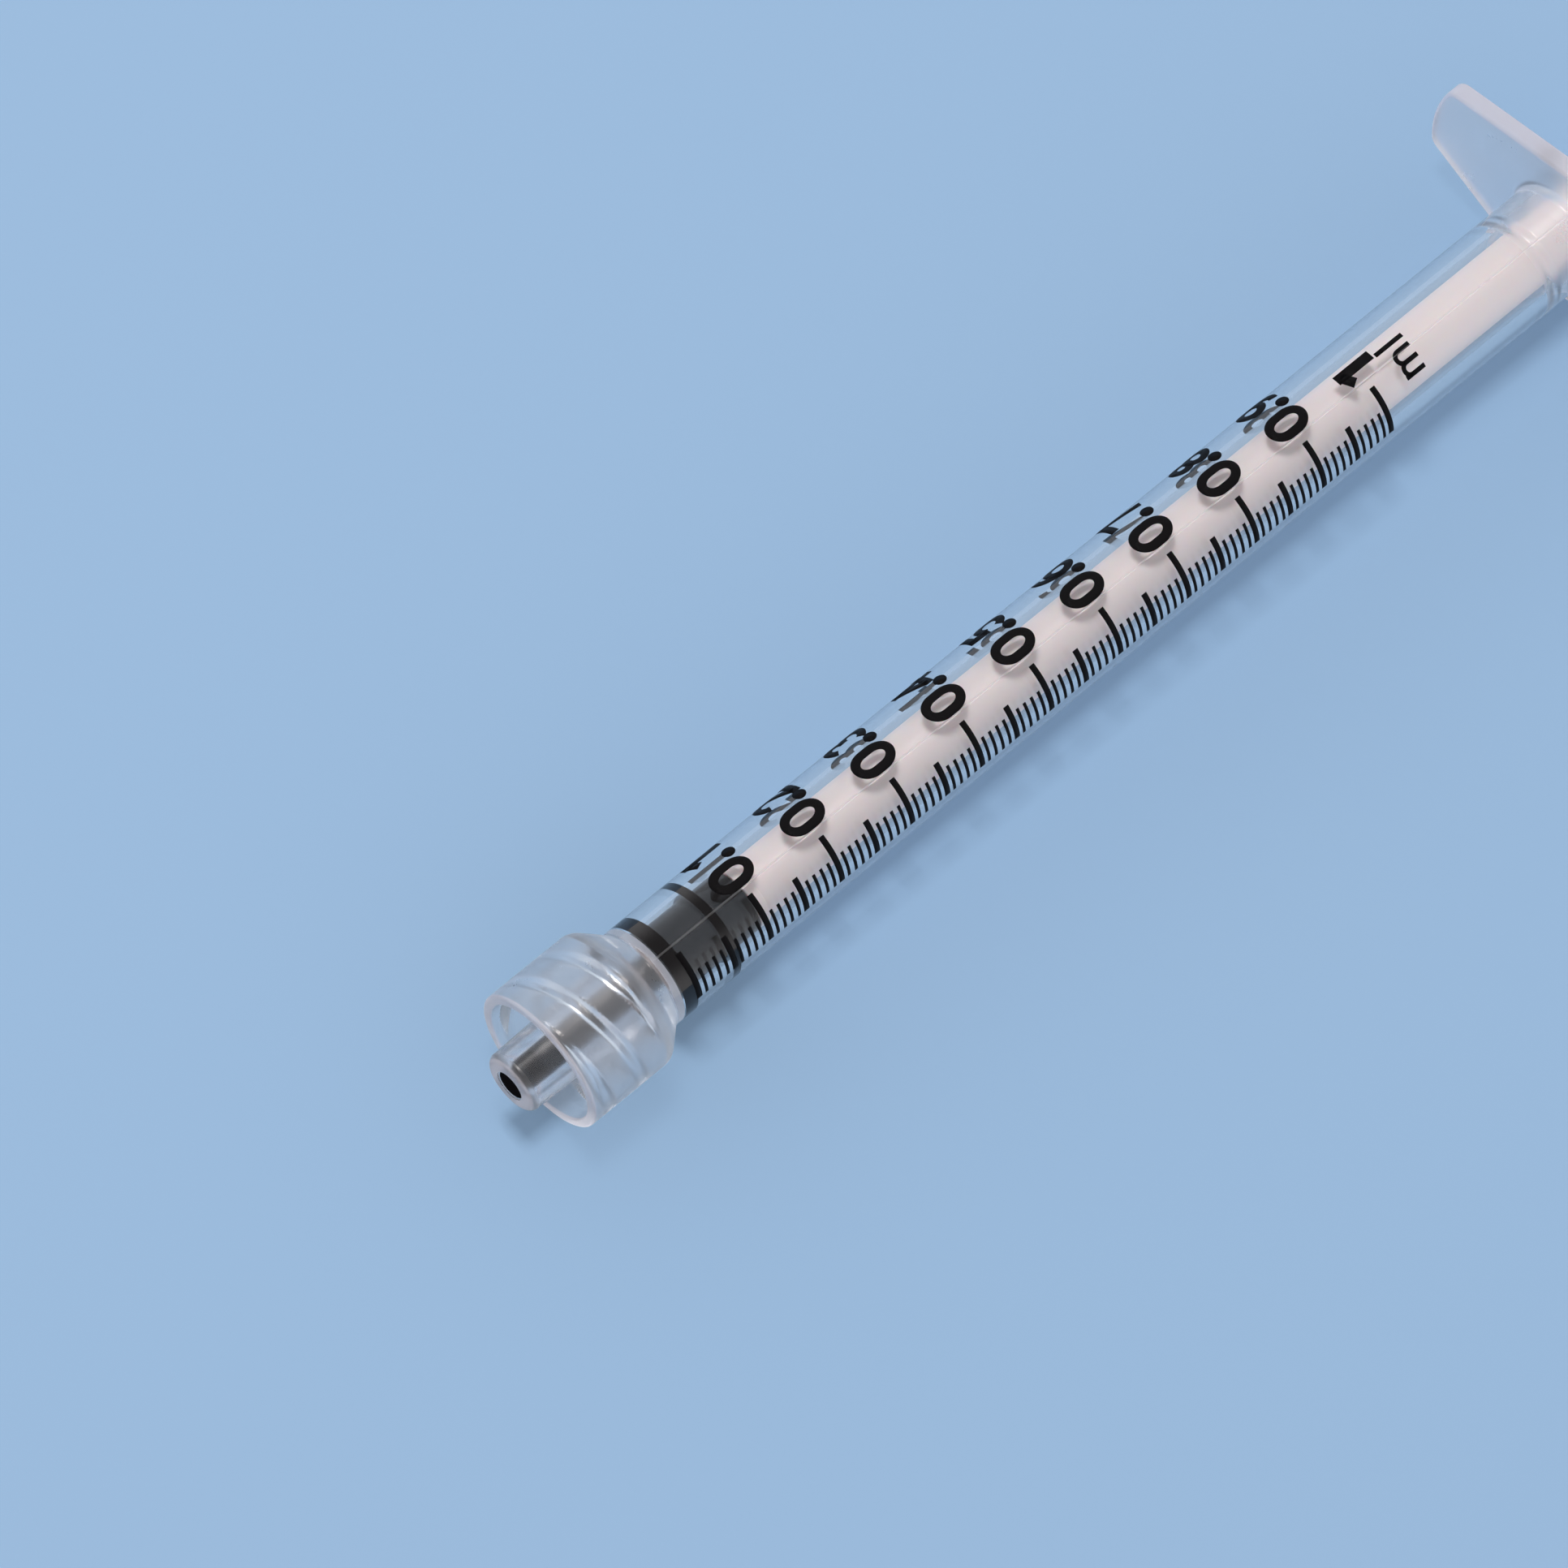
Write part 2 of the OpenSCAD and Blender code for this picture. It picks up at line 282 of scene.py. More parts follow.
# rims and edges, where the mould's surface was left rough
frostedLook = {
    "colour": (0.95, 0.87, 0.89),
    "waveSize": 500.0,
    "grainSize": 6000.0,
    "roughness": (0.36, 0.46),
    "bump": 0.1,
    "bumpDepth": 0.01,
    "shadowTint": (0.9, 0.9, 0.9),
    "values": {"IOR": 1.49, "Transmission Weight": 0.72},
}
rubberLook = {
    "colour": (0.007, 0.006, 0.0065),
    "waveSize": 600.0,
    "grainSize": 5000.0,
    "roughness": (0.12, 0.2),
    "bump": 0.15,
    "bumpDepth": 0.01,
    "values": {"IOR": 1.5, "Specular IOR Level": 0.25},
}
# the ribs touch the wet wall, so they hardly reflect; the same black without reflection also stands on
# the front end of the nose as painted shade, the shade of the tip's hollow
pressedRubberAndShadeLook = {
    "colour": (0.006, 0.005, 0.0055),
    "waveSize": 600.0,
    "grainSize": 5000.0,
    "roughness": (0.3, 0.4),
    "bump": 0.1,
    "bumpDepth": 0.01,
    "values": {"IOR": 1.5, "Specular IOR Level": 0.0},
}
whiteLook = {
    "colour": (0.86, 0.805, 0.82),
    "waveSize": 220.0,
    "grainSize": 3500.0,
    "roughness": (0.3, 0.42),
    "bump": 0.15,
    "bumpDepth": 0.015,
    "values": {"IOR": 1.49, "Subsurface Weight": 0.35, "Subsurface Scale": 0.0006},
}
inkLook = {
    "colour": (0.004, 0.0035, 0.004),
    "waveSize": 900.0,
    "grainSize": 8000.0,
    "roughness": (0.4, 0.6),
    "bump": 0.25,
    "bumpDepth": 0.006,
    "values": {"IOR": 1.5, "Specular IOR Level": 0.06},
}
clearPlastic = clearMaterial("clearPlastic", clearLook)
hazyPlastic = clearMaterial("hazyPlastic", hazyLook)
satinPlastic = clearMaterial("satinPlastic", satinLook)
frostedPlastic = clearMaterial("frostedPlastic", frostedLook)
blackRubber = baseMaterial("blackRubber", rubberLook)[0]
pressedRubberAndShade = baseMaterial("pressedRubberAndShade", pressedRubberAndShadeLook)[0]
whitePlastic = baseMaterial("whitePlastic", whiteLook)[0]
blackInk = baseMaterial("blackInk", inkLook)[0]
print("materials built")


# Clear barrel: nozzle, threaded collar, tube and finger flange in one skin

nozzleShape = {
    "tipR": 1.975,
    "rootR": 2.221,
    "round": 0.5,
    "frostedSteps": 4,
    "pathTipR": 1.0,
    "pathRootR": 1.1,
    "rootFillet": 0.2,
}
collarShape = {
    "boreR": 4.0,
    "mouthRound": 0.15,
    "rimRound": 0.2,
    "shoulderX": 8.3,
    "shoulderLength": 1.55,
    "shoulderWall": 0.7,
    "shoulderRound": 1.0,
    "neckRound": 0.3,
}
threadShape = {
    "lead": 5.0,
    "pitch": 2.5,
    "ridgeX": 4.85,
    "baseWidth": 1.0,
    "crestWidth": 0.34,
    "height": 0.5,
    "fadeIn": (2.5, 3.3),
    "fadeOut": (7.5, 7.95),
    "ringStep": 0.05,
}
tubeShape = {
    "frontR": 3.295,
    "rearR": 3.355,
    "endGap": 0.4,
}
boreShape = {
    "frontWall": 1.6,
    "stepR": 1.6,
    "stepLength": 0.2,
    "coneLength": 0.25,
    "boreR": 2.39,
    "endGap": 0.1,
    "ridgeSetback": 3.8,
    "ridgeWidth": 1.2,
    "ridgeHeight": 0.11,
    "ridgeSteps": 16,
    "mouthR": 2.54,
    "mouthRound": 0.2,
}
flangeShape = {
    "thickness": 1.23,
    "rootR": 6.0,
    "wingR": 10.55,
    "slope": 17.3,
    "corner": 1.0,
    "edge": 0.25,
    "edgeSteps": 5,
    "bossRound": 0.5,
}
partingLine = {"angle": 7.0, "height": 0.035}
barrelSteps = 360
columnAngle = 360 / barrelSteps
tubeX = collarShape["shoulderX"] + collarShape["shoulderLength"]


def threadRise(x, angle, shape):
    offset = (x - shape["ridgeX"] - shape["lead"] * angle / (2 * math.pi)) % shape["pitch"]
    away = min(offset, shape["pitch"] - offset)
    flank = (shape["baseWidth"] - shape["crestWidth"]) / 2
    rise = min(max((shape["baseWidth"] / 2 - away) / flank, 0.0), 1.0)
    fade = smoothStep(x, *shape["fadeIn"]) * (1 - smoothStep(x, *shape["fadeOut"]))
    return shape["height"] * rise * fade


def flangeRadius(angle, inset, shape):
    # distance from the barrel's axis to the flange's outline, drawn in by the inset
    away = abs(math.remainder(angle - math.pi / 2, math.pi))
    rootR = shape["rootR"] - inset
    wingR = shape["wingR"] - inset
    corner = shape["corner"] - inset
    side = math.pi / 2 - math.radians(shape["slope"])
    centreR = wingR - corner
    centre = side - math.acos((rootR - corner) / centreR)
    tangent = side - math.atan2(centreR * math.sin(side - centre), rootR)
    if away <= centre:
        return wingR
    if away <= tangent:
        turn = away - centre
        return centreR * math.cos(turn) + math.sqrt(corner ** 2 - (centreR * math.sin(turn)) ** 2)
    if away <= side:
        return rootR / math.cos(side - away)
    return rootR


def withPartingLine(radius):
    # a fine raised line on both sides, where the halves of the mould met
    def reach(angle):
        away = abs(math.remainder(math.degrees(angle) - partingLine["angle"], 180))
        return radius + partingLine["height"] * (away < columnAngle / 2)
    return reach


def tubeRadius(x):
    # the tube is a little slimmer at the shoulder, by the draft of its mould
    share = (x - tubeX) / (bossX - tubeX)
    return tubeShape["frontR"] + (tubeShape["rearR"] - tubeShape["frontR"]) * share


def barrelSections():
    # the profile in stretches, each with the finish of the surface that starts at its points
    nozzle, collar, bore, flange = nozzleShape, collarShape, boreShape, flangeShape
    slope = math.atan((collarR - tubeShape["frontR"]) / collar["shoulderLength"])
    wallAcross = collar["shoulderWall"] / math.cos(slope)
    coneR = collarR - (rootX - collar["shoulderX"]) * math.tan(slope)
    floorX = collar["shoulderX"] + (collarR - wallAcross - collar["boreR"]) / math.tan(slope)
    shoulderTurn = collar["shoulderRound"] * math.tan(slope / 2)
    neckTurn = collar["neckRound"] * math.tan(slope / 2)
    neckX = tubeX + neckTurn
    slopeDegrees = math.degrees(slope)
    flangeX = flangeBackX - flange["thickness"]
    fillet = nozzle["rootFillet"]
    stepX = rootX + bore["frontWall"]
    coneX = stepX + bore["stepLength"]
    boreX = coneX + bore["coneLength"]
    ridgeX = flangeX - bore["ridgeSetback"]

    tip = [(tipX, nozzle["pathTipR"])]
    tipArc = arcPoints(tipX + nozzle["round"], nozzle["tipR"] - nozzle["round"], nozzle["round"], -90, 0)
    tip += tipArc[:nozzle["frostedSteps"]]
    tipRound = tipArc[nozzle["frostedSteps"]:]
    side = [tipRound.pop()]
    side += arcPoints(rootX - fillet, nozzle["rootR"] + fillet, fillet, 180, 90)
    side += [(rootX, coneR - wallAcross)]

    wall = []
    wallEnd = rimX + collar["mouthRound"]
    count = round((floorX - wallEnd) / threadShape["ringStep"])
    for i in range(count + 1):
        x = floorX + (wallEnd - floorX) * i / count
        wall.append((x, lambda angle, x=x: collar["boreR"] - threadRise(x, angle, threadShape)))

    rim = arcPoints(
        rimX + collar["mouthRound"], collar["boreR"] + collar["mouthRound"],
        collar["mouthRound"], 180, 270,
    )[1:]
    rim += arcPoints(
        rimX + collar["rimRound"], collarR - collar["rimRound"], collar["rimRound"], -90, 0,
    )
    outside = [rim.pop()]
    outside += arcPoints(
        collar["shoulderX"] - shoulderTurn, collarR - collar["shoulderRound"],
        collar["shoulderRound"], 0, slopeDegrees,
    )
    outside += arcPoints(
        neckX, tubeShape["frontR"] + collar["neckRound"], collar["neckRound"],
        180 + slopeDegrees, 180,
    )
    tube = [outside.pop()]
    for x in (neckX + tubeShape["endGap"], bossX - tubeShape["endGap"]):
        tube.append((x, withPartingLine(tubeRadius(x))))

    boss = arcPoints(bossX, tubeShape["rearR"] + flange["bossRound"], flange["bossRound"], 180, 90)
    edge = []
    edgeSteps = flange["edgeSteps"]
    for back in (False, True):
        for i in range(edgeSteps + 1):
            turn = math.radians(90 * (edgeSteps - i if back else i) / edgeSteps)
            inset = flange["edge"] * (1 - math.sin(turn))
            depth = flange["edge"] * (1 - math.cos(turn))
            x = flangeBackX - depth if back else flangeX + depth
            edge.append((x, lambda angle, inset=inset: flangeRadius(angle, inset, flange)))
    back = [edge.pop()]
    back += arcPoints(
        flangeBackX - bore["mouthRound"], bore["mouthR"] + bore["mouthRound"],
        bore["mouthRound"], 90, 180,
    )

    # the low ridge that keeps the plunger in rises and falls in soft curves
    ridge = []
    ridgeTopX = ridgeX + bore["ridgeWidth"] / 2
    ridgeTopR = bore["boreR"] - bore["ridgeHeight"]
    for i in range(bore["ridgeSteps"] + 1):
        x = ridgeX + bore["ridgeWidth"] * (1 - i / bore["ridgeSteps"])
        radius = bore["boreR"] - bore["ridgeHeight"] * smoothStep(x, ridgeX, ridgeTopX)
        radius += (bore["mouthR"] - ridgeTopR) * smoothStep(x, ridgeTopX, ridgeX + bore["ridgeWidth"])
        ridge.append((x, radius))
    inside = [
        (ridgeX - bore["endGap"], bore["boreR"]),
        (boreX + bore["endGap"], bore["boreR"]),
    ]
    boreEnd = [(boreX, bore["boreR"]), (coneX, bore["stepR"]), (stepX, bore["stepR"])]
    path = [(stepX, nozzle["pathRootR"]), (rootX, nozzle["pathRootR"])]
    return [
        (frostedPlastic, tip), (hazyPlastic, tipRound), (satinPlastic, side), (clearPlastic, wall),
        (frostedPlastic, rim), (hazyPlastic, outside), (clearPlastic, tube),
        (hazyPlastic, boss), (frostedPlastic, edge), (hazyPlastic, back), (hazyPlastic, ridge),
        (clearPlastic, inside), (frostedPlastic, boreEnd), (clearPlastic, path),
    ]


def carriesLine(x, radius):
    # the raised line runs over the tube, where the radius depends on the angle
    return callable(radius) and tubeX < x < bossX


def buildBarrel():
    sections = barrelSections()
    profile = [point for finish, points in sections for point in points]
    finishes = [finish for finish, points in sections for point in points]
    barrel = turnedPiece("clearBarrel", profile, barrelSteps, loop=True)
    slots = [clearPlastic, hazyPlastic, satinPlastic, frostedPlastic]
    for finish in slots:
        barrel.data.materials.append(finish)
    for face in barrel.data.polygons:
        ring, column = divmod(face.index, barrelSteps)
        away = abs(math.remainder((column + 0.5) * columnAngle - partingLine["angle"], 180))
        # the raised line is rougher than the tube, so it catches the light
        onLine = carriesLine(*profile[ring]) and away < columnAngle
        face.material_index = slots.index(hazyPlastic if onLine else finishes[ring])
    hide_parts("luer_nozzle", "lock_collar", "barrel_tube", "finger_flange")
    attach(barrel, "barrel")


buildBarrel()
print("barrel built")


# Rubber gasket: its ribs press 0.02 mm into the wall, as squeezed rubber does

gasketShape = {
    "noseTipR": 0.96,
    "noseRootR": 1.06,
    "noseRound": 0.15,
    "seatGap": 0.1,
    "waistR": 2.13,
    "ribR": 2.41,
    "ribRound": 0.12,
    "frontRib": 1.07,
    "ribGap": 2.65,
    "rearRib": 0.7,
    "tail": 2.2,
    "tailR": 2.07,
    "socketR": 1.33,
    "socketNeckR": 0.84,
    "socketLip": 1.1,
    "socketCone": 0.85,
    "socketGap": 0.04,
    "steps": 192,
    "ribSteps": 5,
    "tailSteps": 4,
}


def ribPoints(startX, width, frontR, backR, shape):
    small = shape["ribRound"]
    steps = shape["ribSteps"]
    points = [(startX, frontR)]
    points += arcPoints(startX + small, shape["ribR"] - small, small, -90, 0, steps)
    points += arcPoints(startX + width - small, shape["ribR"] - small, small, 0, 90, steps)
    return points + [(startX + width, backR)]


def buildGasket(shape):
    small = shape["ribRound"]
    rearX = gasketEndX - shape["tail"] - shape["rearRib"]
    frontX = rearX - shape["ribGap"] - shape["frontRib"]
    socketX = headX - shape["socketGap"]
    plugX = rootX + boreShape["frontWall"] + shape["seatGap"]
    plugR = boreShape["stepR"] - shape["seatGap"]
    profile = [(noseX, 0)]
    profile += arcPoints(
        noseX + shape["noseRound"], shape["noseTipR"] - shape["noseRound"],
        shape["noseRound"], -90, 0,
    )
    profile += [(rootX, shape["noseRootR"]), (plugX, shape["noseRootR"])]
    profile += [(plugX, plugR), (plugX + boreShape["stepLength"], plugR)]
    profile += ribPoints(frontX, shape["frontRib"], shape["waistR"], shape["waistR"], shape)
    profile += ribPoints(rearX, shape["rearRib"], shape["waistR"], shape["tailR"], shape)
    profile += arcPoints(gasketEndX - small, shape["tailR"] - small, small, 0, 90, shape["tailSteps"])
    profile += [
        (gasketEndX, shape["socketNeckR"]),
        (gasketEndX - shape["socketLip"], shape["socketNeckR"]),
        (gasketEndX - shape["socketLip"], shape["socketR"]),
        (socketX + shape["socketCone"], shape["socketR"]),
        (socketX, shape["socketNeckR"]),
        (socketX, 0),
    ]
    gasket = turnedPiece("rubberGasket", profile, shape["steps"], loop=False)
    gasket.data.materials.append(blackRubber)
    gasket.data.materials.append(pressedRubberAndShade)
    # the crowns of the ribs take the duller finish, as they press on the wall; the front end of the nose
    # takes it as painted shade, a black without reflection for the hollow of the tip
    for face in gasket.data.polygons:
        reach = math.hypot(face.center.y, face.center.z) / mm
        if reach > shape["ribR"] - small / 2 or face.center.x / mm < noseX + small:
            face.material_index = 1
    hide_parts("gasket")
    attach(gasket, "gasket")


buildGasket(gasketShape)
print("gasket built")


# Plunger: snap head, disc, round rod and dished thumb rest

rodShape = {
    "rodR": 1.9,
    "headR": 1.29,
    "headLength": 1.7,
    "neckR": 0.8,
    "discGap": 0.04,
    "discR": 2.05,
    "discThickness": 0.75,
    "round": 0.12,
    "flareLength": 1.6,
    "flareR": 2.7,
    "thumbRound": 0.4,
    "dishRim": 0.9,
    "dishDepth": 0.3,
    "ringCount": 3,
    "ringHeight": 0.12,
    "ringReach": 0.22,
    "ringStart": 0.7,
    "ringSpare": 0.5,
    "steps": 192,
    "discSteps": 4,
    "flareSteps": 12,
    "ringSteps": 8,
}


def buildPlunger(shape):
    small = shape["round"]
    discX = gasketEndX + shape["discGap"]
    discEnd = discX + shape["discThickness"]
    profile = [
        (headX, 0), (headX, shape["neckR"]),
        (headX + shape["headLength"] / 2, shape["headR"]),
        (headX + shape["headLength"], shape["headR"]),
        (headX + shape["headLength"], shape["neckR"]),
        (discX, shape["neckR"]),
    ]
    profile += arcPoints(discX + small, shape["discR"] - small, small, -90, 0, shape["discSteps"])
    profile += arcPoints(discEnd - small, shape["discR"] - small, small, 0, 90, shape["discSteps"])
    profile += [(discEnd, shape["rodR"])]
    # the flare opens along a quarter of a cosine
    flareStart = thumbX - shape["flareLength"]
    for i in range(shape["flareSteps"] + 1):
        share = i / shape["flareSteps"]
        rise = (shape["flareR"] - shape["rodR"]) * (1 - math.cos(share * math.pi / 2))
        profile.append((flareStart + shape["flareLength"] * share, shape["rodR"] + rise))
    edge = shape["thumbRound"]
    profile += arcPoints(thumbX + edge, thumbR - edge, edge, -90, 0)
    profile += arcPoints(thumbBackX - edge, thumbR - edge, edge, 0, 90)
    dishR = thumbR - shape["dishRim"]
    floorX = thumbBackX - shape["dishDepth"]
    profile += [(thumbBackX, dishR), (floorX, dishR - shape["dishDepth"])]
    # low rings in the dish keep the thumb from slipping
    ringGap = (dishR - shape["dishDepth"]) / (shape["ringCount"] + shape["ringSpare"])
    for i in range(shape["ringCount"]):
        middle = dishR - shape["dishDepth"] - ringGap * (i + shape["ringStart"])
        for j in range(shape["ringSteps"] + 1):
            share = j / shape["ringSteps"]
            lift = shape["ringHeight"] * math.sin(share * math.pi)
            profile.append((floorX + lift, middle + ringGap * shape["ringReach"] * (1 - 2 * share)))
    profile += [(floorX, 0)]
    plunger = turnedPiece("plungerRod", profile, shape["steps"], loop=False)
    plunger.data.materials.append(whitePlastic)
    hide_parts("plunger_rod", "thumb_rest")
    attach(plunger, "plunger")


buildPlunger(rodShape)
print("plunger built")


# Printed scale: ten tenths of a millilitre, each in ten parts, with its numbers

scalePrint = {
    "zeroX": 11.65,
    "tenthLength": 5.57,
    "tenths": 10,
    "parts": 10,
    "endAngle": 75.1,
    "longAngle": 16.35,
    "middleAngle": 32.5,
    "shortAngle": 42.2,
    "longWidth": 0.4,
    "shortWidth": 0.22,
    "lift": 0.003,
    "thickness": 0.014,
    "stripAngle": 2.0,
}
numberPrint = {
    "height": 2.95,
    "roundWidth": 1.95,
    "roundStroke": 0.59,
    "oneWidth": 1.3,
    "oneStroke": 0.68,
    "dot": 0.85,
    "startAngle": 6.2,
    "dotAngle": -35.0,
    "tenthsAngle": -41.0,
    "oneShift": 4.0,
    "lastAngle": 5.5,
    "unitHeight": 1.5,
    "unitWidth": 1.9,
    "unitStroke": 0.3,
    "unitSpace": 0.36,
    "unitTall": 2.1,
    "unitGap": 1.6,
    "unitAngle": 35.0,
    "cut": 0.1,
    "curveStep": 9,
    "dotSegments": 32,
    "mitreLimit": 0.5,
    "tiny": 1e-6,
}


def inkRadius(x):
    return tubeRadius(x) + scalePrint["lift"]


def wrapOnTube(builder, startAngle, middleX):
    # lays flat lettering on the tube: its reading direction runs towards -angle, its top towards -X
    for vert in builder.verts:
        x = middleX - vert.co.y
        angle = math.radians(startAngle) - vert.co.x / inkRadius(middleX)
        vert.co = onBarrel(x, inkRadius(x), angle)


def cutIntoStrips(builder, step):
    # cuts flat lettering across its reading direction, so that it can bend with the tube
    low = min(vert.co.x for vert in builder.verts)
    high = max(vert.co.x for vert in builder.verts)
    for i in range(1, math.ceil((high - low) / step)):
        geometry = builder.verts[:] + builder.edges[:] + builder.faces[:]
        bmesh.ops.bisect_plane(
            builder, geom=geometry, dist=numberPrint["tiny"],
            plane_co=(low + i * step, 0, 0), plane_no=(1, 0, 0),
        )


def curvePoints(middleX, middleY, reachX, reachY, start, end):
    # part of an oval, from one angle to another in degrees
    count = max(2, round(abs(end - start) / numberPrint["curveStep"]))
    points = []
    for i in range(count + 1):
        angle = math.radians(start + (end - start) * i / count)
        points.append((middleX + reachX * math.cos(angle), middleY + reachY * math.sin(angle)))
    return points


def penStrokes(letter):
    # centre lines of a plain bold numeral: 0 to 1 spans the middle of its outer strokes
    low, high, left, right = -0.117, 1.117, -0.2, 1.2
    sixStem = curvePoints(0.66, 0.33, 0.66, 0.64, 180, 72)
    sixBowl = curvePoints(0.5, 0.31, 0.5, 0.31, 0, 360)
    return {
        "0": [
            curvePoints(0.5, 0.62, 0.5, 0.38, 0, 180)
            + curvePoints(0.5, 0.38, 0.5, 0.38, 180, 360) + [(1.0, 0.62)],
        ],
        "1": [[(1.0, low), (1.0, high)], [(1.0, 0.97), (-0.3, 0.76)]],
        "2": [
            curvePoints(0.5, 0.70, 0.5, 0.30, 165, -38) + [(0.04, 0.02)],
            [(left, 0.0), (right, 0.0)],
        ],
        "3": [
            curvePoints(0.46, 0.755, 0.46, 0.245, 155, -90),
            curvePoints(0.46, 0.255, 0.54, 0.255, 90, -155),
        ],
        "4": [[(0.74, low), (0.74, high)], [(0.74, 1.0), (-0.04, 0.25)], [(left, 0.25), (right, 0.25)]],
        "5": [
            [(0.06, 1.0), (1.1, 1.0)],
            [(0.16, high), (0.08, 0.5)],
            curvePoints(0.47, 0.32, 0.53, 0.32, 138, -155),
        ],
        "6": [sixBowl, sixStem],
        "7": [[(left, 1.0), (right, 1.0)], [(1.0, 1.0), (0.36, low)]],
        "8": [curvePoints(0.5, 0.76, 0.42, 0.24, 0, 360), curvePoints(0.5, 0.27, 0.5, 0.27, 0, 360)],
        "9": [[(1 - x, 1 - y) for x, y in stroke] for stroke in (sixBowl, sixStem)],
        "m": [
            [(0.0, low), (0.0, high)],
            curvePoints(0.25, 0.68, 0.25, 0.32, 180, 0) + [(0.5, low)],
            curvePoints(0.75, 0.68, 0.25, 0.32, 180, 0) + [(1.0, low)],
        ],
        "l": [[(0.5, low), (0.5, high)]],
    }[letter]


def addStroke(builder, points, width):
    # a ribbon of even width along the centre line, closed where its ends meet
    closed = (points[0] - points[-1]).length < numberPrint["tiny"]
    if closed:
        points = points[:-1]
    count = len(points)
    rows = []
    for i, point in enumerate(points):
        steps = []
        if i > 0 or closed:
            steps.append((point - points[i - 1]).normalized())
        if i < count - 1 or closed:
            steps.append((points[(i + 1) % count] - point).normalized())
        along = (steps[0] + steps[-1]).normalized()
        reach = width / 2 / max(along.dot(steps[0]), numberPrint["mitreLimit"])
        side = Vector((-along.y, along.x)) * reach
        rows.append([builder.verts.new((*(point + turn * side), 0)) for turn in (1, -1)])
    pairs = list(zip(rows, rows[1:]))
    if closed:
        pairs.append((rows[-1], rows[0]))
    for rowA, rowB in pairs:
        builder.faces.new((rowA[0], rowA[1], rowB[1], rowB[0]))


def flatLetter(letter, width, height, stroke):
    # one numeral with its left edge at x = 0 and its middle at y = 0
    builder = bmesh.new()
    for line in penStrokes(letter):
        points = [
            Vector((stroke / 2 + x * (width - stroke), stroke / 2 + y * (height - stroke) - height / 2))
            for x, y in line
        ]
        addStroke(builder, points, stroke)
    cutIntoStrips(builder, numberPrint["cut"])
    return builder


def flatDot(size):
    builder = bmesh.new()
    segments = numberPrint["dotSegments"]
    bmesh.ops.create_circle(builder, cap_ends=True, segments=segments, radius=size / 2)
    cutIntoStrips(builder, numberPrint["cut"])
    return builder


def printedPiece(name, builder):
    # every face looks away from the axis, so the ink's thickness stands on the tube
    bmesh.ops.recalc_face_normals(builder, faces=builder.faces)
    for face in builder.faces:
        middle = face.calc_center_median()
        if face.normal.dot(Vector((0, middle.y, middle.z))) < 0:
            face.normal_flip()
    piece = finishedPiece(name, builder)
    solid = piece.modifiers.new("inkThickness", "SOLIDIFY")
    solid.thickness = scalePrint["thickness"] * mm
    solid.offset = 1.0
    piece.data.materials.append(blackInk)
    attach(piece, "barrel")


def addTick(builder, middleX, width, startAngle):
    count = round((scalePrint["endAngle"] - startAngle) / scalePrint["stripAngle"])
    rows = []
    for i in range(count + 1):
        angle = math.radians(startAngle + (scalePrint["endAngle"] - startAngle) * i / count)
        edges = (middleX - width / 2, middleX + width / 2)
        rows.append([builder.verts.new(onBarrel(x, inkRadius(x), angle)) for x in edges])
    for rowA, rowB in zip(rows, rows[1:]):
        builder.faces.new((rowA[0], rowA[1], rowB[1], rowB[0]))


def buildScaleLines(shape):
    builder = bmesh.new()
    parts = shape["parts"]
    for i in range(shape["tenths"] * parts + 1):
        middleX = shape["zeroX"] + shape["tenthLength"] * i / parts
        if i % parts == 0:
            addTick(builder, middleX, shape["longWidth"], shape["longAngle"])
        elif i % (parts // 2) == 0:
            addTick(builder, middleX, shape["longWidth"], shape["middleAngle"])
        else:
            addTick(builder, middleX, shape["shortWidth"], shape["shortAngle"])
    printedPiece("scaleLines", builder)


def buildScaleNumbers(shape):
    whole = bmesh.new()

    def place(builder, startAngle, middleX):
        wrapOnTube(builder, startAngle, middleX)
        mesh = bpy.data.meshes.new("letter")
        builder.to_mesh(mesh)
        builder.free()
        whole.from_mesh(mesh)
        bpy.data.meshes.remove(mesh)

    def numeral(letter, startAngle, middleX):
        kind = "one" if letter == "1" else "round"
        size = (shape[kind + "Width"], shape["height"], shape[kind + "Stroke"])
        place(flatLetter(letter, *size), startAngle, middleX)

    for tenth in range(1, scalePrint["tenths"]):
        middleX = scalePrint["zeroX"] + scalePrint["tenthLength"] * tenth
        numeral("0", shape["startAngle"], middleX)
        dotX = middleX + (shape["height"] - shape["dot"]) / 2
        place(flatDot(shape["dot"]), shape["dotAngle"], dotX)
        numeral(str(tenth), shape["tenthsAngle"] - shape["oneShift"] * (tenth == 1), middleX)
    lastX = scalePrint["zeroX"] + scalePrint["tenthLength"] * scalePrint["tenths"]
    numeral("1", shape["lastAngle"], lastX)
    # the unit mark stands behind the last number
    unitX = lastX + shape["unitGap"] + shape["unitTall"] / 2
    smallX = unitX + (shape["unitTall"] - shape["unitHeight"]) / 2
    stroke = shape["unitStroke"]
    place(flatLetter("m", shape["unitWidth"], shape["unitHeight"], stroke), shape["unitAngle"], smallX)
    barShift = (shape["unitWidth"] + shape["unitSpace"]) / inkRadius(unitX)
    barAngle = shape["unitAngle"] - math.degrees(barShift)
    place(flatLetter("l", stroke, shape["unitTall"], stroke), barAngle, unitX)
    printedPiece("scaleNumbers", whole)


buildScaleLines(scalePrint)
buildScaleNumbers(numberPrint)
print("scale printed")


# Floor, which the collar and the flange rest on, and soft studio light

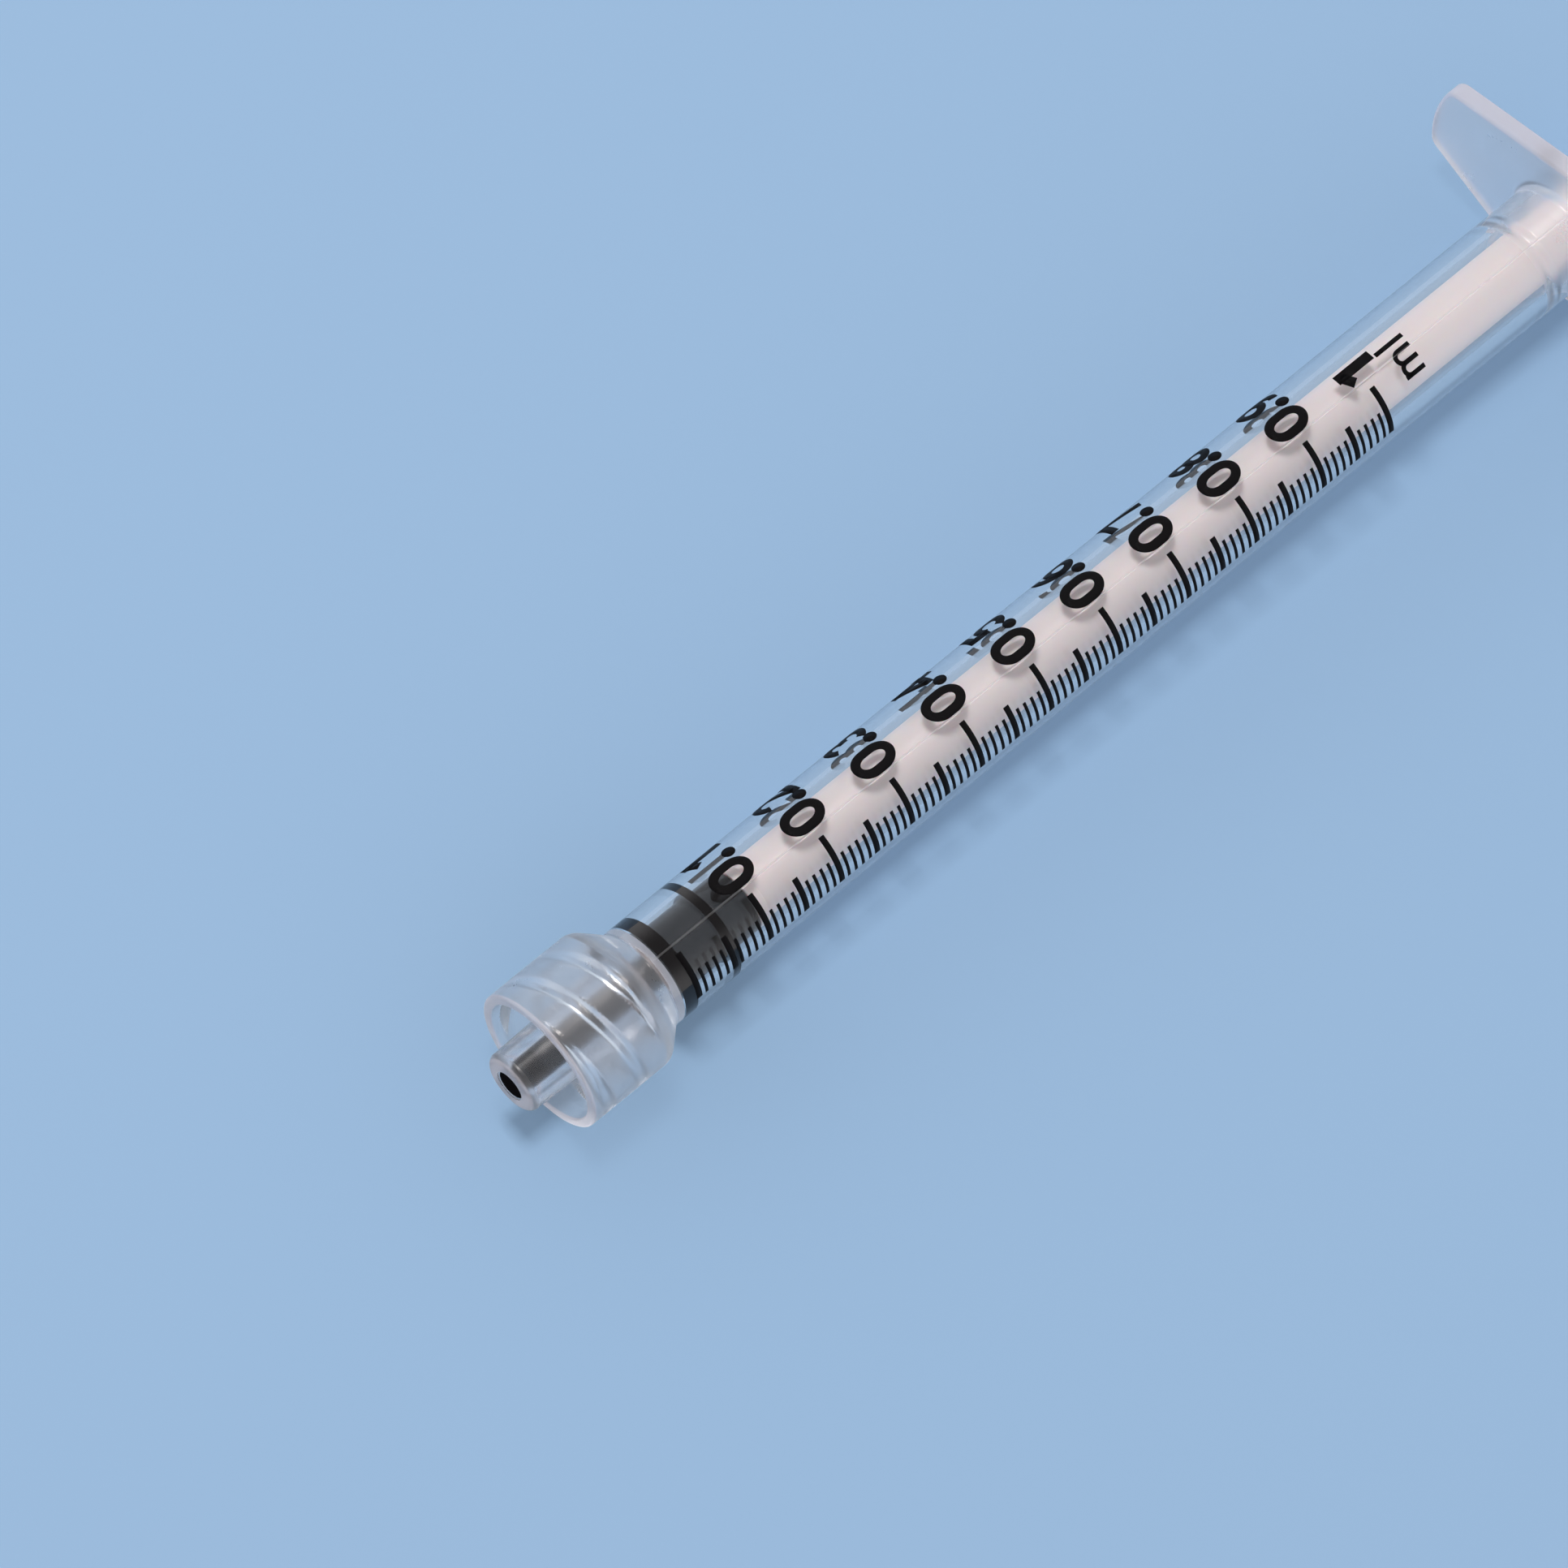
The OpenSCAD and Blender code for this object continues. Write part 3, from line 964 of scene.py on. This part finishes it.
floorSetup = {
    "size": 4.0,
    "collarX": 5.0,
    "flangeX": 86.03,
    "colour": (0.33, 0.51, 0.73),
    "roughness": 0.7,
    "specular": 0.2,
    "gap": 0.02,
    "cuts": 8,
}
lightSetup = {
    "worldColour": (0.98, 0.97, 1.0),
    "ceilingStrength": 0.28,
    "wallStrength": 1.2,
    "ceilingHeight": 0.9,
    "wallHeight": 0.25,
    "backdropColour": (0.62, 0.74, 0.88),
    "keyPlace": (0.03, 0.23, 0.87),
    "keyTarget": (0.04, 0, 0),
    "keySize": 0.18,
    "keyPower": 3.3,
    "keyColour": (1.0, 0.975, 0.965),
}


def addFloor(setup):
    dropA = -collarR
    dropB = -flangeShape["rootR"]
    slope = (dropB - dropA) / (setup["flangeX"] - setup["collarX"])
    half = setup["size"] / 2
    builder = bmesh.new()
    corners = []
    for x, y in ((-half, -half), (half, -half), (half, half), (-half, half)):
        z = dropA * mm + slope * (x - setup["collarX"] * mm)
        corners.append(builder.verts.new((x, y, z - setup["gap"] * mm)))
    builder.faces.new(corners)
    bmesh.ops.subdivide_edges(builder, edges=builder.edges, cuts=setup["cuts"], use_grid_fill=True)
    floor = finishedPiece("floor", builder)
    material = bpy.data.materials.new("floorPaper")
    material.use_nodes = True
    shader = material.node_tree.nodes["Principled BSDF"]
    shader.inputs["Base Color"].default_value = (*setup["colour"], 1.0)
    shader.inputs["Roughness"].default_value = setup["roughness"]
    shader.inputs["Specular IOR Level"].default_value = setup["specular"]
    floor.data.materials.append(material)


def addWorld(setup):
    world = bpy.data.worlds.new("studio")
    world.use_nodes = True
    nodes = world.node_tree.nodes
    links = world.node_tree.links
    light = nodes["Background"]
    light.inputs["Color"].default_value = (*setup["worldColour"], 1.0)
    # pale walls and a dim ceiling: the Z of the direction runs from 0 at the walls to 1 overhead
    place = nodes.new("ShaderNodeTexCoord")
    parts = nodes.new("ShaderNodeSeparateXYZ")
    fade = nodes.new("ShaderNodeMapRange")
    fade.interpolation_type = "SMOOTHSTEP"
    fade.inputs["From Min"].default_value = setup["wallHeight"]
    fade.inputs["From Max"].default_value = setup["ceilingHeight"]
    fade.inputs["To Min"].default_value = setup["wallStrength"]
    fade.inputs["To Max"].default_value = setup["ceilingStrength"]
    links.new(place.outputs["Generated"], parts.inputs["Vector"])
    links.new(parts.outputs["Z"], fade.inputs["Value"])
    links.new(fade.outputs["Result"], light.inputs["Strength"])
    seen = nodes.new("ShaderNodeBackground")
    seen.inputs["Color"].default_value = (*setup["backdropColour"], 1.0)
    path = nodes.new("ShaderNodeLightPath")
    either = nodes.new("ShaderNodeMath")
    either.operation = "MAXIMUM"
    mix = nodes.new("ShaderNodeMixShader")
    links.new(path.outputs["Is Camera Ray"], either.inputs[0])
    links.new(path.outputs["Is Transmission Ray"], either.inputs[1])
    links.new(either.outputs[0], mix.inputs["Fac"])
    links.new(light.outputs["Background"], mix.inputs[1])
    links.new(seen.outputs["Background"], mix.inputs[2])
    links.new(mix.outputs["Shader"], nodes["World Output"].inputs["Surface"])
    bpy.context.scene.world = world


def addLamp(name, place, target, size, power, colour):
    data = bpy.data.lights.new(name, "AREA")
    data.size = size
    data.energy = power
    data.color = colour
    lamp = bpy.data.objects.new(name, data)
    place = Vector(place)
    turn = (Vector(target) - place).to_track_quat("-Z", "Y").to_matrix().to_4x4()
    lamp.matrix_world = Matrix.Translation(place) @ turn
    bpy.context.scene.collection.objects.link(lamp)


addFloor(floorSetup)
addWorld(lightSetup)
addLamp(
    "keyLamp", lightSetup["keyPlace"], lightSetup["keyTarget"],
    lightSetup["keySize"], lightSetup["keyPower"], lightSetup["keyColour"],
)
bpy.context.scene.view_settings.view_transform = "Standard"
print("floor and light set")
